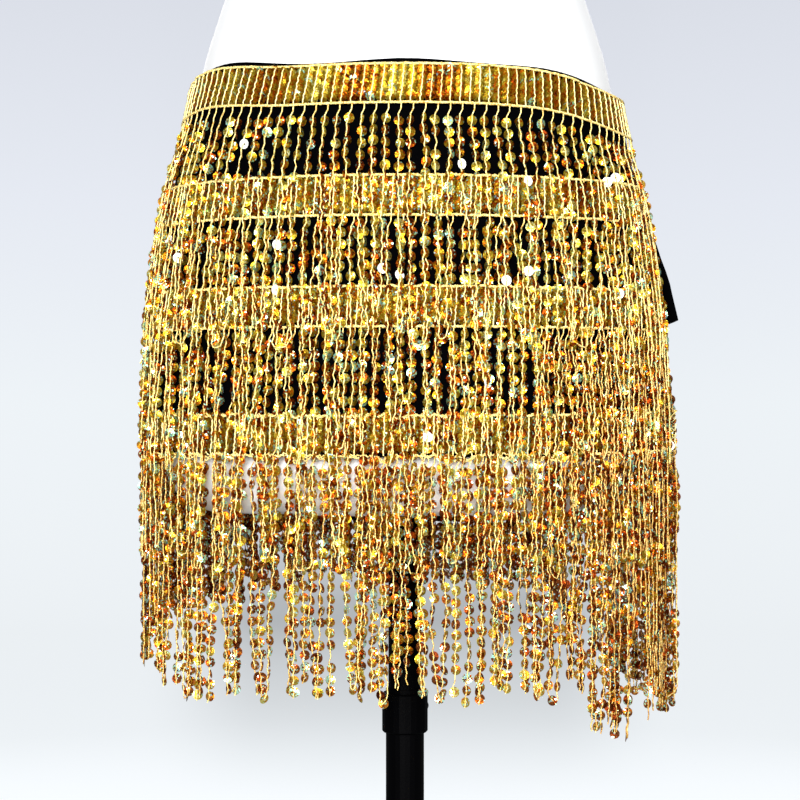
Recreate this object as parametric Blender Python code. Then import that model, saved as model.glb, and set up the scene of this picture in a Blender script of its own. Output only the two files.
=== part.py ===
"""A belly dance hip scarf tied round a limbless dress form on a telescopic stand.

The wearer's front faces -Y, the knot is at the wearer's left hip (+X), and +Z is up.
The origin is the centre of the stand's foot on the floor. All sizes are in metres.
"""

import math
from collections import namedtuple

import bmesh
import bpy
from mathutils import Vector

# Driving sizes of the stand
FOOT_RADIUS = 0.165
FOOT_THICK = 0.007
FOOT_EDGE = 0.002
BOSS_RADIUS = 0.020
BOSS_TOP = 0.034
BOSS_FILLET = 0.004
BOSS_EDGE = 0.0015
SOCKET_FLOOR = 0.010
TUBE_RADIUS = 0.0127
TUBE_WALL = 0.0014
TUBE_TOP = 0.541
MAST_RADIUS = 0.0110
MAST_WALL = 0.0012
MAST_BOTTOM = 0.150
COLLAR_RADIUS = 0.0152
COLLAR_LOW = 0.512
COLLAR_TOP = 0.5385
COLLAR_EDGE = 0.001
SCREW_HEIGHT = 0.526
SCREW_TURN = math.radians(75.0)
SCREW_RADIUS = 0.0030
SCREW_HOLE = 0.0034
HOLE_FROM = 0.005
HOLE_TO = 0.020
KNOB_RADIUS = 0.0105
KNOB_LOW = 0.0175
KNOB_TOP = 0.0275
KNOB_INNER_EDGE = 0.0015
KNOB_OUTER_EDGE = 0.002
FLANGE_RADIUS = 0.045
FLANGE_THICK = 0.005
FLANGE_EDGE = 0.001
GAP = 0.0003
FOOT_STEPS = 44
FLANGE_STEPS = 28
TUBE_STEPS = 24
KNOB_STEPS = 20
HOLE_STEPS = 16

# Driving sizes of the dress form
FORM_BOTTOM = 0.660
FORM_COLUMNS = 34
WIDEST_LEVEL_STEP = 0.038
Section = namedtuple("Section", "z half_width front back")
FORM_SECTIONS = (
    Section(0.660, 0.136, 0.083, 0.094),
    Section(0.668, 0.153, 0.094, 0.108),
    Section(0.690, 0.1630, 0.101, 0.117),
    Section(0.733, 0.1660, 0.105, 0.122),
    Section(0.780, 0.1645, 0.107, 0.122),
    Section(0.830, 0.1595, 0.107, 0.115),
    Section(0.875, 0.1515, 0.105, 0.103),
    Section(0.920, 0.1410, 0.100, 0.091),
    Section(0.960, 0.1330, 0.094, 0.083),
    Section(1.000, 0.1195, 0.088, 0.079),
    Section(1.040, 0.1095, 0.084, 0.079),
    Section(1.075, 0.1070, 0.084, 0.080),
    Section(1.120, 0.1130, 0.089, 0.085),
    Section(1.170, 0.1240, 0.097, 0.091),
    Section(1.220, 0.1330, 0.101, 0.095),
    Section(1.265, 0.1370, 0.099, 0.097),
    Section(1.310, 0.1420, 0.089, 0.099),
    Section(1.350, 0.1560, 0.077, 0.096),
    Section(1.378, 0.1550, 0.066, 0.086),
    Section(1.395, 0.1330, 0.058, 0.076),
    Section(1.412, 0.0950, 0.052, 0.066),
    Section(1.428, 0.0630, 0.049, 0.058),
    Section(1.450, 0.0515, 0.047, 0.052),
    Section(1.490, 0.0500, 0.047, 0.049),
    Section(1.498, 0.0450, 0.042, 0.044),
)
BUST_HEIGHT = 1.240
BUST_SPREAD = 0.072
BUST_RISE = 0.026
BUST_SIZE = 0.047
BUST_FADE = 0.05

# Driving sizes of the scarf. Angles run from the wearer's left side (+X), through the front
CLOTH_CLEAR = 0.0010
CLOTH_THICK = 0.0015
CLOTH_OVER_BAND = 0.0030
CLOTH_HEM = 0.6980
HANG_STEP = 0.01
HANG_LEVELS = 14
HIPS_Z = 0.78
OUTLINE_STEPS = 1440
BAND_THICK = 0.0018
BAND_HEIGHT = 0.0245
BODY_COLUMNS = 48
BODY_START = math.radians(3.0)
BODY_END = math.radians(329.0)
FRONT_COLUMNS = 3
BACK_COLUMNS = 6
# The two free ends of the wrap are plumb beside the knot and low down, and lean forward between
FRONT_EDGE = (math.radians(-12.0), math.radians(1.5))
BACK_EDGE = (math.radians(330.5), math.radians(357.0))
EDGE_LEAN_TOP = 0.900
EDGE_LEAN_LOW = 0.800
FLARE = 0.0095
FLARE_TOP = 0.850
FLARE_LOW = 0.750
FLARE_WIDTH = math.radians(17.0)
RIPPLES = 9
RIPPLE_START = math.radians(40.0)
RIPPLE_TOP = 0.800
RIPPLE_DEPTH = 0.0022

# The side of the hips that the bands sink on, and how far to each side of it
KNOT_SIDE = math.radians(-10.0)
KNOT_SIDE_REACH = math.radians(85.0)

# One row for each tier: bottom edge of its band, how far the band drops at the knot, the length
# of its fringe, and how many of the wrap's back end columns the band runs on to
Tier = namedtuple("Tier", "band_bottom knot_drop fringe back_columns")
TIERS = (
    Tier(0.9155, 0.0090, 0.143, 0),
    Tier(0.8460, -0.0015, 0.143, 5),
    Tier(0.7780, 0.0000, 0.143, 5),
    Tier(0.6990, -0.0020, 0.143, 6),
)

# The first band's line is a little uneven: where it rises or sinks round the hips, how far to each
# side that reaches, and by how much
Wave = namedtuple("Wave", "degrees reach up")
FIRST_BAND_WAVES = (
    Wave(22.0, 34.0, -0.0046),
    Wave(148.0, 30.0, 0.0042),
)

# The fringe: a header strip under each band, with strands that fall from it
STRIP_THICK = 0.0020
STRIP_HEIGHT = 0.0040
STRAND_PITCH = 0.0144
STRAND_WIDTH = 0.0062
STRAND_STEPS = 20
STRAND_HALF_DEPTH = 0.0010
STRAND_SWAY = 0.0016
STRAND_UNEVEN = 0.05
LEAST_STEP = 0.030
HEADER_STEPS = 200
# Small steps along and out of the cloth, that give its directions at a point
ALONG_STEP = 0.02
OUT_STEP = 0.01
# How far a strand's middle stands off the form at each drop below its header. The upper tiers
# hang over the bands and strands below them, and the last tier hangs nearly plumb
Stand = namedtuple("Stand", "drop off")
STRAND_STANDS = (
    Stand(0.000, 0.0038),
    Stand(0.035, 0.0060),
    Stand(0.070, 0.0072),
    Stand(0.105, 0.0087),
    Stand(0.155, 0.0107),
)
LAST_TIER_STANDS = (
    Stand(0.000, 0.0038),
    Stand(0.035, 0.0048),
    Stand(0.180, 0.0055),
)
# How much longer than the rest the last tier's strands are, by their turn round the hips
Longer = namedtuple("Longer", "degrees more")
LAST_TIER_LONGER = (
    Longer(-30.0, 0.020),
    Longer(24.0, 0.024),
    Longer(26.0, -0.034),
    Longer(33.0, -0.034),
    Longer(35.0, 0.028),
    Longer(46.0, 0.030),
    Longer(50.0, 0.001),
    Longer(100.0, 0.000),
    Longer(125.0, 0.006),
    Longer(150.0, 0.002),
    Longer(165.0, -0.012),
    Longer(178.0, -0.014),
    Longer(200.0, -0.030),
    Longer(222.0, -0.048),
    Longer(305.0, -0.048),
    Longer(330.0, 0.020),
)

# The ties of the scarf's own cloth, knotted behind the wearer's left hip
KNOT_ANGLE = math.radians(-21.0)
KNOT_REACH = math.radians(4.8)
KNOT_Z = 0.917
KNOT_OFF = 0.0075
KNOT_SIZE = (0.0085, 0.0060, 0.0110)
KNOT_SEGMENTS = 16
KNOT_RINGS = 10
TIE_THICK = 0.0016
TIE_HEIGHTS = (0.0230, 0.0120)
TIE_RISE = 0.0040
TIE_SEAM = math.radians(0.25)
TIE_UNDER_EDGE = 0.0005
TIE_SHARES = (0.0, 0.4, 0.75, 1.0)
TAIL_SPLIT = 0.0020
TAIL_TOP_HALF = 0.0045
# The front tail swings out from the hip: its middle's place from the knot's, half its width, and
# the rise of its face
FrontTail = namedtuple("FrontTail", "drop right back half rise")
FRONT_TAIL = (
    FrontTail(0.037, 0.016, 0.001, 0.0075, 0.3),
    FrontTail(0.073, 0.026, 0.001, 0.0095, 0.2),
    FrontTail(0.108, 0.038, -0.001, 0.0105, 0.2),
    FrontTail(0.132, 0.046, -0.002, 0.0085, 0.2),
)
FRONT_TAIL_ACROSS = Vector((0.62, -0.74, 0.24))
FRONT_TAIL_FACE = (0.65, 0.60)
# The back tail lies along the hip: how far its middle stands off it, and half its width
BackTail = namedtuple("BackTail", "drop off half")
BACK_TAIL = (
    BackTail(0.036, 0.0085, 0.0070),
    BackTail(0.072, 0.0090, 0.0090),
    BackTail(0.112, 0.0125, 0.0100),
)


def material(name, colour, roughness, metallic=0.0):
    made = bpy.data.materials.new(name)
    made.use_nodes = True
    shader = made.node_tree.nodes["Principled BSDF"]
    shader.inputs["Base Color"].default_value = (*colour, 1.0)
    shader.inputs["Roughness"].default_value = roughness
    shader.inputs["Metallic"].default_value = metallic
    return made


def add(name, bm, paint, smooth_angle=40.0):
    """Turns a bmesh into a named, painted object with smooth rounds and sharp corners."""
    bmesh.ops.recalc_face_normals(bm, faces=bm.faces)
    mesh = bpy.data.meshes.new(name)
    bm.to_mesh(mesh)
    bm.free()
    mesh.materials.append(paint)
    mesh.shade_smooth()
    mesh.set_sharp_from_angle(angle=math.radians(smooth_angle))
    made = bpy.data.objects.new(name, mesh)
    bpy.context.collection.objects.link(made)
    return made


def turned(profile, steps):
    """A body of revolution about Z from a closed profile of (radius, height) points."""
    bm = bmesh.new()
    points = [bm.verts.new((r, 0.0, z)) for r, z in profile]
    edges = [bm.edges.new((a, b)) for a, b in zip(points, points[1:] + points[:1])]
    bmesh.ops.spin(bm, geom=points + edges, cent=(0, 0, 0), axis=(0, 0, 1),
                   angle=math.tau, steps=steps, use_duplicate=False)
    bmesh.ops.remove_doubles(bm, verts=bm.verts, dist=1e-6)
    bmesh.ops.dissolve_degenerate(bm, edges=bm.edges, dist=1e-7)
    on_axis = [e for e in bm.edges if all(v.co.xy.length < 1e-6 for v in e.verts)]
    bmesh.ops.delete(bm, geom=on_axis, context="EDGES")
    return bm


def loft(rings):
    """A closed body through equal rings of points, with its first and last ring filled."""
    bm = bmesh.new()
    loops = [[bm.verts.new(p) for p in ring] for ring in rings]
    count = len(loops[0])
    for low, high in zip(loops, loops[1:]):
        for i in range(count):
            j = (i + 1) % count
            bm.faces.new((low[i], low[j], high[j], high[i]))
    bm.faces.new(list(reversed(loops[0])))
    bm.faces.new(loops[-1])
    return bm


def wall(outer, inner):
    """A closed sheet between two equal grids of points, an outer and an inner one."""
    bm = bmesh.new()
    out = [[bm.verts.new(p) for p in row] for row in outer]
    back = [[bm.verts.new(p) for p in row] for row in inner]
    rows, columns = len(out), len(out[0])
    for r in range(rows - 1):
        for c in range(columns - 1):
            bm.faces.new((out[r][c], out[r][c + 1], out[r + 1][c + 1], out[r + 1][c]))
            bm.faces.new((back[r][c], back[r + 1][c], back[r + 1][c + 1], back[r][c + 1]))
    for c in range(columns - 1):
        for r in (0, rows - 1):
            bm.faces.new((out[r][c], back[r][c], back[r][c + 1], out[r][c + 1]))
    for r in range(rows - 1):
        for c in (0, columns - 1):
            bm.faces.new((out[r][c], out[r + 1][c], back[r + 1][c], back[r][c]))
    return bm


def smooth_step(value):
    value = min(1.0, max(0.0, value))
    return value * value * (3.0 - 2.0 * value)


def uneven(*keys):
    """A repeatable number from -1 to 1 for a strand, in place of chance."""
    mixed = math.sin(sum(k * w for k, w in zip(keys, (12.9898, 78.233, 37.719)))) * 43758.5453
    return 2.0 * (mixed - math.floor(mixed)) - 1.0


def form_section(z):
    """The form's half width and depths at a height, on a smooth curve through the table."""
    rows = FORM_SECTIONS
    i = max(0, min(len(rows) - 2, sum(1 for row in rows if row.z <= z) - 1))
    low, high = rows[i], rows[i + 1]
    before, after = rows[max(0, i - 1)], rows[min(len(rows) - 1, i + 2)]
    span = high.z - low.z
    t = (z - low.z) / span
    found = []
    for column in ("half_width", "front", "back"):
        a, b = getattr(low, column), getattr(high, column)
        slope_a = (b - getattr(before, column)) / (high.z - before.z) * span
        slope_b = (getattr(after, column) - a) / (after.z - low.z) * span
        found.append(
            (2 * t**3 - 3 * t**2 + 1) * a + (t**3 - 2 * t**2 + t) * slope_a
            + (3 * t**2 - 2 * t**3) * b + (t**3 - t**2) * slope_b
        )
    return found


def hanging_section(z):
    """The outline that hanging cloth takes: it never tucks in below the widest place above it."""
    above = [form_section(max(z, FORM_BOTTOM) + HANG_STEP * i) for i in range(HANG_LEVELS)]
    return [max(column) for column in zip(*above)]


def outline_point(section, angle, z, off):
    """A point on an oval section, moved out by off along the outline's own normal."""
    half_width, front, back = section
    depth = front if math.sin(angle) > 0 else back
    across, along = math.cos(angle) / half_width, -math.sin(angle) / depth
    size = math.hypot(across, along)
    x = half_width * math.cos(angle) + off * across / size
    y = -depth * math.sin(angle) + off * along / size
    return Vector((x, y, z))


def edge_angle(edge, z):
    """The angle of one of the wrap's free ends at a height."""
    down = min(1.0, max(0.0, (EDGE_LEAN_TOP - z) / (EDGE_LEAN_TOP - EDGE_LEAN_LOW)))
    return edge[0] + (edge[1] - edge[0]) * down


def flare(angle, z):
    """The free back end of the wrap stands away from the hip towards the hem."""
    side = smooth_step(1.0 - (edge_angle(BACK_EDGE, z) - angle) / FLARE_WIDTH)
    down = smooth_step((FLARE_TOP - z) / (FLARE_TOP - FLARE_LOW))
    return FLARE * side * down


def ripple(angle, z):
    """Soft folds that open below the widest line of the hips."""
    down = smooth_step((RIPPLE_TOP - z) / (RIPPLE_TOP - CLOTH_HEM))
    return RIPPLE_DEPTH * down * (0.5 + 0.5 * math.sin(RIPPLES * angle + RIPPLE_START))


def cloth_point(angle, z, off):
    """A point off the form's side, where the scarf hangs."""
    return outline_point(hanging_section(z), angle, z, off + flare(angle, z) + ripple(angle, z))


def equal_angles(start, end, count):
    """Angles that split the hip's outline into equal lengths from start to end."""
    fine = OUTLINE_STEPS
    section = form_section(HIPS_Z)
    angles = [start + (end - start) * i / fine for i in range(fine + 1)]
    points = [outline_point(section, a, 0.0, 0.0) for a in angles]
    lengths = [0.0]
    for a, b in zip(points, points[1:]):
        lengths.append(lengths[-1] + (b - a).length)
    found, i = [], 0
    for n in range(count + 1):
        wanted = lengths[-1] * n / count
        while i < fine - 1 and lengths[i + 1] < wanted:
            i += 1
        share = (wanted - lengths[i]) / (lengths[i + 1] - lengths[i])
        found.append(angles[i] + (angles[i + 1] - angles[i]) * share)
    return found


def wrap_angles(z):
    """The wrap's columns at a height: front margin, body, and back end up to its free edge."""
    front = edge_angle(FRONT_EDGE, z)
    back = edge_angle(BACK_EDGE, z)
    body = equal_angles(BODY_START, BODY_END, BODY_COLUMNS)
    before = [front + (BODY_START - front) * i / FRONT_COLUMNS for i in range(FRONT_COLUMNS)]
    after = [BODY_END + (back - BODY_END) * (i + 1) / BACK_COLUMNS for i in range(BACK_COLUMNS)]
    return before + body + after


def band_angles(tier, z):
    """The wrap's columns that a band or its fringe lies on."""
    last = FRONT_COLUMNS + BODY_COLUMNS + 1 + tier.back_columns
    return wrap_angles(z)[FRONT_COLUMNS:last]


def knot_side(angle):
    """1 at the knot's side of the hips, falling to 0 towards the front and the back."""
    turned_from_knot = math.remainder(angle - KNOT_SIDE, math.tau)
    return 1.0 - smooth_step(abs(turned_from_knot) / KNOT_SIDE_REACH)


def read_table(rows, value):
    """The second column of a two-column table, read between its rows by the first."""
    for a, b in zip(rows, rows[1:]):
        if value <= b[0]:
            return a[1] + (b[1] - a[1]) * (value - a[0]) / (b[0] - a[0])
    return rows[-1][1]


def band_bottom(tier, angle):
    """A band's lower edge, which sinks towards the knot."""
    line = tier.band_bottom - tier.knot_drop * knot_side(angle)
    if tier == TIERS[0]:
        for wave in FIRST_BAND_WAVES:
            away = abs(math.degrees(angle) - wave.degrees) / wave.reach
            line += wave.up * smooth_step(1.0 - away)
    return line


def make_stand(paint):
    """Round foot with a boss, lower tube, collar, and the thumb screw that clamps the mast."""
    foot = [
        (0.0, 0.0), (FOOT_RADIUS - FOOT_EDGE, 0.0), (FOOT_RADIUS, FOOT_EDGE),
        (FOOT_RADIUS, FOOT_THICK - FOOT_EDGE), (FOOT_RADIUS - FOOT_EDGE, FOOT_THICK),
        (BOSS_RADIUS + BOSS_FILLET, FOOT_THICK), (BOSS_RADIUS, FOOT_THICK + BOSS_FILLET),
        (BOSS_RADIUS, BOSS_TOP - BOSS_EDGE), (BOSS_RADIUS - BOSS_EDGE, BOSS_TOP),
        (TUBE_RADIUS + GAP, BOSS_TOP), (TUBE_RADIUS + GAP, SOCKET_FLOOR), (0.0, SOCKET_FLOOR),
    ]
    add("stand_foot", turned(foot, FOOT_STEPS), paint)
    bore = TUBE_RADIUS - TUBE_WALL
    tube = [(bore, SOCKET_FLOOR + GAP), (TUBE_RADIUS, SOCKET_FLOOR + GAP),
            (TUBE_RADIUS, TUBE_TOP), (bore, TUBE_TOP)]
    lower = add("stand_tube", turned(tube, TUBE_STEPS), paint)
    ring = [
        (TUBE_RADIUS + GAP, COLLAR_LOW), (COLLAR_RADIUS - COLLAR_EDGE, COLLAR_LOW),
        (COLLAR_RADIUS, COLLAR_LOW + COLLAR_EDGE), (COLLAR_RADIUS, COLLAR_TOP - COLLAR_EDGE),
        (COLLAR_RADIUS - COLLAR_EDGE, COLLAR_TOP), (TUBE_RADIUS + GAP, COLLAR_TOP),
    ]
    collar = add("stand_collar", turned(ring, TUBE_STEPS), paint)
    drill = [(0.0, HOLE_FROM), (SCREW_HOLE, HOLE_FROM), (SCREW_HOLE, HOLE_TO), (0.0, HOLE_TO)]
    cutter = turned(drill, HOLE_STEPS)
    hole = add("screw_hole", cutter, paint)
    point_out(hole)
    hole.hide_render = True
    hole.display_type = "WIRE"
    for body in (lower, collar):
        cut = body.modifiers.new("screw hole", "BOOLEAN")
        cut.operation = "DIFFERENCE"
        cut.object = hole
    screw = [
        (0.0, MAST_RADIUS + GAP), (SCREW_RADIUS, MAST_RADIUS + GAP), (SCREW_RADIUS, KNOB_LOW),
        (KNOB_RADIUS - KNOB_INNER_EDGE, KNOB_LOW), (KNOB_RADIUS, KNOB_LOW + KNOB_INNER_EDGE),
        (KNOB_RADIUS, KNOB_TOP - KNOB_OUTER_EDGE), (KNOB_RADIUS - KNOB_OUTER_EDGE, KNOB_TOP),
        (0.0, KNOB_TOP),
    ]
    point_out(add("clamp_screw", turned(screw, KNOB_STEPS), paint))


def point_out(body):
    """Lays a turned body along the clamp screw's axis, which points out behind the pole."""
    body.location = (0.0, 0.0, SCREW_HEIGHT)
    body.rotation_euler = (0.0, math.radians(90.0), SCREW_TURN)


def make_form(white, black):
    """The limbless form, its flange and the mast that slides in the stand's tube."""
    top = FORM_BOTTOM - GAP
    under = top - FLANGE_THICK
    flange = [(0.0, under), (FLANGE_RADIUS - FLANGE_EDGE, under),
              (FLANGE_RADIUS, under + FLANGE_EDGE), (FLANGE_RADIUS, top), (0.0, top)]
    add("form_flange", turned(flange, FLANGE_STEPS), black)
    mast_top = under - GAP
    bore = MAST_RADIUS - MAST_WALL
    mast = [(bore, MAST_BOTTOM), (MAST_RADIUS, MAST_BOTTOM),
            (MAST_RADIUS, mast_top), (bore, mast_top)]
    add("mast_tube", turned(mast, TUBE_STEPS), black)
    rings = []
    for z in form_levels():
        ring = []
        for i in range(FORM_COLUMNS):
            angle = math.tau * i / FORM_COLUMNS
            ring.append(bust(outline_point(form_section(z), -angle, z, 0.0)))
        rings.append(ring)
    add("form_torso", loft(rings), white, smooth_angle=60.0)


def form_levels():
    """The table's own heights, with one more between any two that lie far apart."""
    levels = []
    for low, high in zip(FORM_SECTIONS, FORM_SECTIONS[1:]):
        levels.append(low.z)
        if high.z - low.z > WIDEST_LEVEL_STEP:
            levels.append((low.z + high.z) / 2)
    return levels + [FORM_SECTIONS[-1].z]


def bust(point):
    """Two plain rounds on the front of the chest."""
    if point.y >= 0.0:
        return point
    out = 0.0
    for side in (-1.0, 1.0):
        away = math.hypot(point.x - side * BUST_SPREAD, (point.z - BUST_HEIGHT))
        out += BUST_RISE * math.exp(-0.5 * (away / BUST_SIZE) ** 2)
    facing = min(1.0, -point.y / BUST_FADE)
    return Vector((point.x, point.y - out * facing, point.z))


def cloth_heights(angle):
    """Top edge, then each band's two edges, then the hem, from top to bottom."""
    heights = [band_bottom(TIERS[0], angle) + BAND_HEIGHT + CLOTH_OVER_BAND]
    for tier in TIERS:
        bottom = band_bottom(tier, angle)
        heights += [bottom + BAND_HEIGHT, bottom]
    return heights + [CLOTH_HEM - TIERS[-1].knot_drop * knot_side(angle)]


def make_cloth(paint):
    """The black wrap: one cloth from the free edge in front of the knot, round to the one behind."""
    outer, inner = [], []
    for row, height in enumerate(cloth_heights(math.pi)):
        outside, inside = [], []
        for angle in wrap_angles(height):
            z = cloth_heights(angle)[row]
            outside.append(cloth_point(angle, z, CLOTH_CLEAR + CLOTH_THICK))
            inside.append(cloth_point(angle, z, CLOTH_CLEAR))
        outer.append(outside)
        inner.append(inside)
    add("wrap_cloth", wall(outer, inner), paint, smooth_angle=60.0)


def make_bands(paint):
    """Four sequin bands sewn round the cloth, each made from the cloth's points moved out."""
    low = CLOTH_CLEAR + CLOTH_THICK + GAP
    for number, tier in enumerate(TIERS, 1):
        grids = []
        for off in (low + BAND_THICK, low):
            rows = []
            for rise in (BAND_HEIGHT, 0.0):
                angles = band_angles(tier, tier.band_bottom + rise)
                rows.append([cloth_point(a, band_bottom(tier, a) + rise, off) for a in angles])
            grids.append(rows)
        add(f"band_{number}", wall(*grids), paint, smooth_angle=60.0)


def strand_levels(number, angle, length):
    """Heights of a strand's rings: at and between the headers of the tiers below, then its end."""
    roots = [band_bottom(tier, angle) - GAP - STRIP_HEIGHT for tier in TIERS]
    step = roots[-2] - roots[-1]
    roots += [roots[-1] - step, roots[-1] - 2 * step]
    levels = []
    for high, low in zip(roots[number:], roots[number + 1:]):
        levels += [(high + low) / 2, low]
    end = roots[number] - length
    return [z for z in levels if z > end + LEAST_STEP] + [end]


def fringe_length(tier, angle, strand):
    """Each strand's own length, which differs most round the last tier."""
    length = tier.fringe * (1.0 + STRAND_UNEVEN * uneven(TIERS.index(tier), strand, 1.0))
    if tier is TIERS[-1]:
        length += read_table(LAST_TIER_LONGER, math.degrees(angle))
    return length


def strand_ring(stands, angle, z, root_z, slide):
    """Three corners of a strand at a height: two outside, one inside, at its real width."""
    off = read_table(stands, root_z - z)
    middle = cloth_point(angle, z, off)
    along = (cloth_point(angle + ALONG_STEP, z, off) - middle).normalized()
    out = (cloth_point(angle, z, off + OUT_STEP) - middle).normalized()
    middle += along * slide
    half = STRAND_WIDTH / 2
    return (
        middle - along * half + out * STRAND_HALF_DEPTH,
        middle + along * half + out * STRAND_HALF_DEPTH,
        middle - out * STRAND_HALF_DEPTH,
    )


def strand_corners(tier):
    """Angles of each strand's two edges along the header strip, in order, and the strip's end."""
    span = band_angles(tier, tier.band_bottom)
    reach = span[-1] - span[0]
    angles = [span[0] + reach * i / HEADER_STEPS for i in range(HEADER_STEPS + 1)]
    points = [cloth_point(angle, tier.band_bottom, 0.0) for angle in angles]
    length = sum((b - a).length for a, b in zip(points, points[1:]))
    strands = round(length / STRAND_PITCH)
    fine = equal_angles(span[0], span[-1], strands * STRAND_STEPS)
    share = round(STRAND_STEPS * STRAND_WIDTH / STRAND_PITCH)
    corners = []
    for strand in range(strands):
        corners += [fine[strand * STRAND_STEPS], fine[strand * STRAND_STEPS + share]]
    return corners + [fine[-1]]


def make_fringes(paint):
    """Four fringes: a narrow header strip under each band, and strands that fall from it."""
    low = CLOTH_CLEAR + CLOTH_THICK + GAP
    high = low + STRIP_THICK
    for number, tier in enumerate(TIERS):
        stands = LAST_TIER_STANDS if tier is TIERS[-1] else STRAND_STANDS
        bm = bmesh.new()
        corners = strand_corners(tier)
        strands = len(corners) // 2
        columns = []
        for angle in corners:
            top = band_bottom(tier, angle) - GAP
            bottom = top - STRIP_HEIGHT
            columns.append([
                bm.verts.new(cloth_point(angle, top, high)),
                bm.verts.new(cloth_point(angle, bottom, high)),
                bm.verts.new(cloth_point(angle, bottom, low)),
                bm.verts.new(cloth_point(angle, top, low)),
            ])
        for here, there in zip(columns, columns[1:]):
            bm.faces.new((here[0], here[1], there[1], there[0]))
            bm.faces.new((here[3], there[3], there[2], here[2]))
            bm.faces.new((here[0], there[0], there[3], here[3]))
        bm.faces.new(columns[0])
        bm.faces.new(columns[-1][::-1])
        for strand in range(strands):
            here, there = columns[2 * strand], columns[2 * strand + 1]
            after = columns[2 * strand + 2]
            bm.faces.new((here[2], there[2], there[1]))
            bm.faces.new((there[1], there[2], after[2], after[1]))
            angle = (corners[2 * strand] + corners[2 * strand + 1]) / 2
            root = band_bottom(tier, angle) - GAP - STRIP_HEIGHT
            length = fringe_length(tier, angle, strand)
            ring = [here[1], there[1], here[2]]
            for z in strand_levels(number, angle, length):
                slide = STRAND_SWAY * uneven(number, strand, 2.0) * (root - z) / tier.fringe
                below = [bm.verts.new(p) for p in strand_ring(stands, angle, z, root, slide)]
                for i in range(3):
                    j = (i + 1) % 3
                    bm.faces.new((ring[i], below[i], below[j], ring[j]))
                ring = below
            bm.faces.new(ring)
        add(f"fringe_{number + 1}", bm, paint, smooth_angle=30.0)


def ribbon(name, stations, paint):
    """A flat tie through stations of (middle, half of its width as a vector, face direction)."""
    rings = []
    for middle, half, face in stations:
        out = Vector(face).normalized() * TIE_THICK / 2
        half = Vector(half)
        middle = Vector(middle)
        rings.append([middle - half - out, middle + half - out,
                      middle + half + out, middle - half + out])
    add(name, loft(rings), paint)


def make_ties(paint):
    """The wrap's two top corners run on as ties, which meet in a knot and hang down."""
    knot = outline_point(form_section(KNOT_Z), KNOT_ANGLE, KNOT_Z, KNOT_OFF)
    bm = bmesh.new()
    bmesh.ops.create_uvsphere(bm, u_segments=KNOT_SEGMENTS, v_segments=KNOT_RINGS, radius=1.0)
    for v in bm.verts:
        v.co = Vector(v.co[i] * KNOT_SIZE[i] for i in range(3))
    made = add("tie_knot", bm, paint)
    made.location = knot
    outward = outline_point(form_section(KNOT_Z), KNOT_ANGLE, KNOT_Z, 0.1) - knot
    made.rotation_euler = (0.0, 0.0, math.atan2(outward.y, outward.x) + math.radians(90.0))

    meets_front = KNOT_ANGLE + KNOT_REACH
    meets_back = math.tau + KNOT_ANGLE - KNOT_REACH
    ties = (("tie_front", FRONT_EDGE, meets_front), ("tie_back", BACK_EDGE, meets_back))
    for name, edge, near in ties:
        corner = edge_angle(edge, KNOT_Z)
        away = math.copysign(TIE_SEAM, near - corner)
        top = cloth_heights(corner)[0] - TIE_UNDER_EDGE
        grids = []
        for off in (CLOTH_CLEAR + TIE_THICK, CLOTH_CLEAR):
            rows = []
            for drop in (0.0, 0.5, 1.0):
                row = []
                for share in TIE_SHARES:
                    height = TIE_HEIGHTS[0] + (TIE_HEIGHTS[1] - TIE_HEIGHTS[0]) * share
                    upper = top + (KNOT_Z + height / 2 - top) * share
                    angle = corner + away + (near - corner - away) * share
                    rise = off + TIE_RISE * share**2
                    row.append(cloth_point(angle, upper - height * drop, rise))
                rows.append(row)
            grids.append(rows)
        add(name, wall(*grids), paint, smooth_angle=60.0)

    out = (outline_point(form_section(KNOT_Z), KNOT_ANGLE, KNOT_Z, 2 * KNOT_OFF) - knot).normalized()
    level = out.cross(Vector((0.0, 0.0, 1.0))) * TAIL_TOP_HALF
    under = Vector((0.0, 0.0, -KNOT_SIZE[2] - GAP / 2))
    stations = [(knot + under + out * TAIL_SPLIT, level, out)]
    for row in FRONT_TAIL:
        middle = knot + Vector((row.right, row.back, -row.drop))
        across = FRONT_TAIL_ACROSS.normalized() * row.half
        stations.append((middle, across, (*FRONT_TAIL_FACE, row.rise)))
    ribbon("tie_tail_front", stations, paint)
    stations = [(knot + under - out * TAIL_SPLIT, level, out)]
    for row in BACK_TAIL:
        z = KNOT_Z - row.drop
        section = hanging_section(z)
        middle = outline_point(section, KNOT_ANGLE, z, row.off)
        along = outline_point(section, KNOT_ANGLE + ALONG_STEP, z, row.off) - middle
        face = outline_point(section, KNOT_ANGLE, z, row.off + OUT_STEP) - middle
        stations.append((middle, along.normalized() * row.half, face))
    ribbon("tie_tail_back", stations, paint)


def main():
    for existing in list(bpy.data.objects):
        bpy.data.objects.remove(existing)
    steel = material("black steel", (0.012, 0.012, 0.013), 0.35, 0.6)
    white = material("white form", (0.86, 0.86, 0.85), 0.45)
    cloth = material("black cloth", (0.012, 0.012, 0.014), 0.85)
    sequins = material("gold sequins", (0.83, 0.58, 0.16), 0.25, 1.0)
    strands = material("gold fringe", (0.80, 0.53, 0.14), 0.30, 1.0)
    make_stand(steel)
    make_form(white, steel)
    make_cloth(cloth)
    make_bands(sequins)
    make_fringes(strands)
    make_ties(cloth)


main()
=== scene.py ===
import math
import random

import bmesh
import bpy
import numpy as np
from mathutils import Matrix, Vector, noise
from mathutils.bvhtree import BVHTree


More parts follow.
